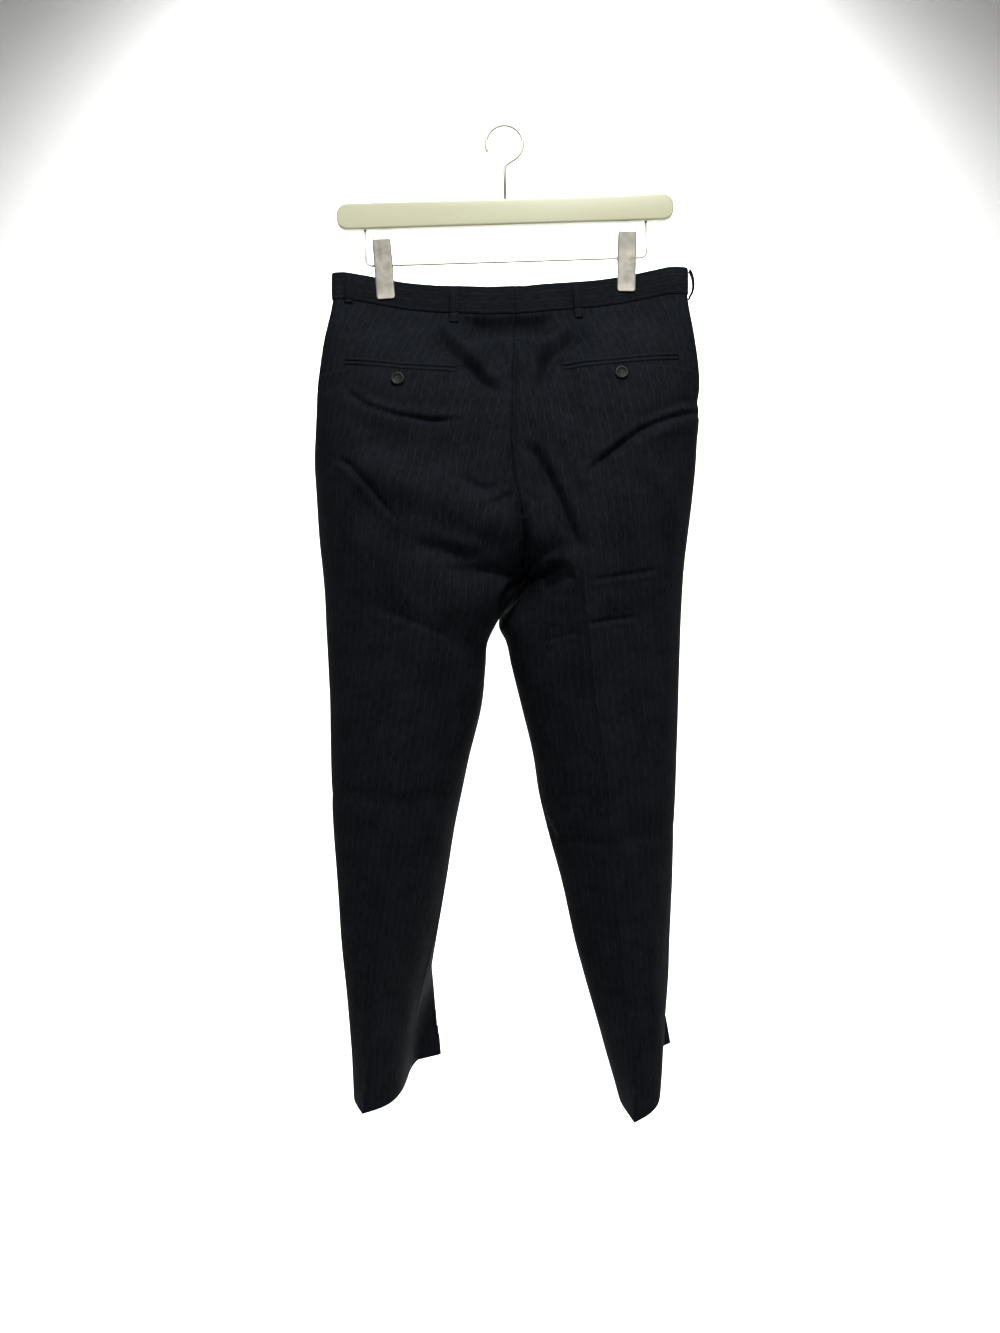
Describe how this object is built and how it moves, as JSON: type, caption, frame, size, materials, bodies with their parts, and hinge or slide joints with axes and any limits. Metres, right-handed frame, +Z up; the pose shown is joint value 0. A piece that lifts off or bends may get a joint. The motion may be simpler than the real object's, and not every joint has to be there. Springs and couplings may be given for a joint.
{
  "type": "suit trousers on a clip hanger",
  "caption": "Dark pinstriped suit trousers hanging by the waistband from a straight clip hanger, legs open at the hems.",
  "frame": {"origin": "inside top of the hanger's hook, where a rail holds it", "axes": "+Z up; the wearer's back faces -Y and the front +Y; the wearer's right leg is on +X"},
  "size_m": [0.457, 0.2051, 1.1572],
  "materials": {
    "worsted": "dark navy worsted wool with fine pale pinstripes",
    "horn": "dark moulded polyester with a greyer rim",
    "lacquer": "smooth cream lacquer",
    "satin_metal": "satin nickel plate"
  },
  "bodies": {
    "root": {"back_left": "worsted", "back_right": "worsted", "front_left": "worsted", "front_right": "worsted", "waistband_left": "worsted", "waistband_right": "worsted", "loop_back_left": "worsted", "loop_back_right": "worsted", "loop_side_left": "worsted", "loop_side_right": "worsted", "loop_front_left": "worsted", "loop_front_right": "worsted", "pocket_left_upper_welt": "worsted", "pocket_left_lower_welt": "worsted", "pocket_right_upper_welt": "worsted", "pocket_right_lower_welt": "worsted", "front_pocket_left": "worsted", "front_pocket_right": "worsted", "fly_lap": "worsted", "pocket_button_left": "horn", "pocket_button_right": "horn", "hanger_bar": "lacquer", "hanger_hook": "satin_metal", "hanger_rail": "satin_metal", "clip_left_near": "satin_metal", "clip_left_far": "satin_metal", "clip_right_near": "satin_metal", "clip_right_far": "satin_metal"}
  },
  "joints": []
}
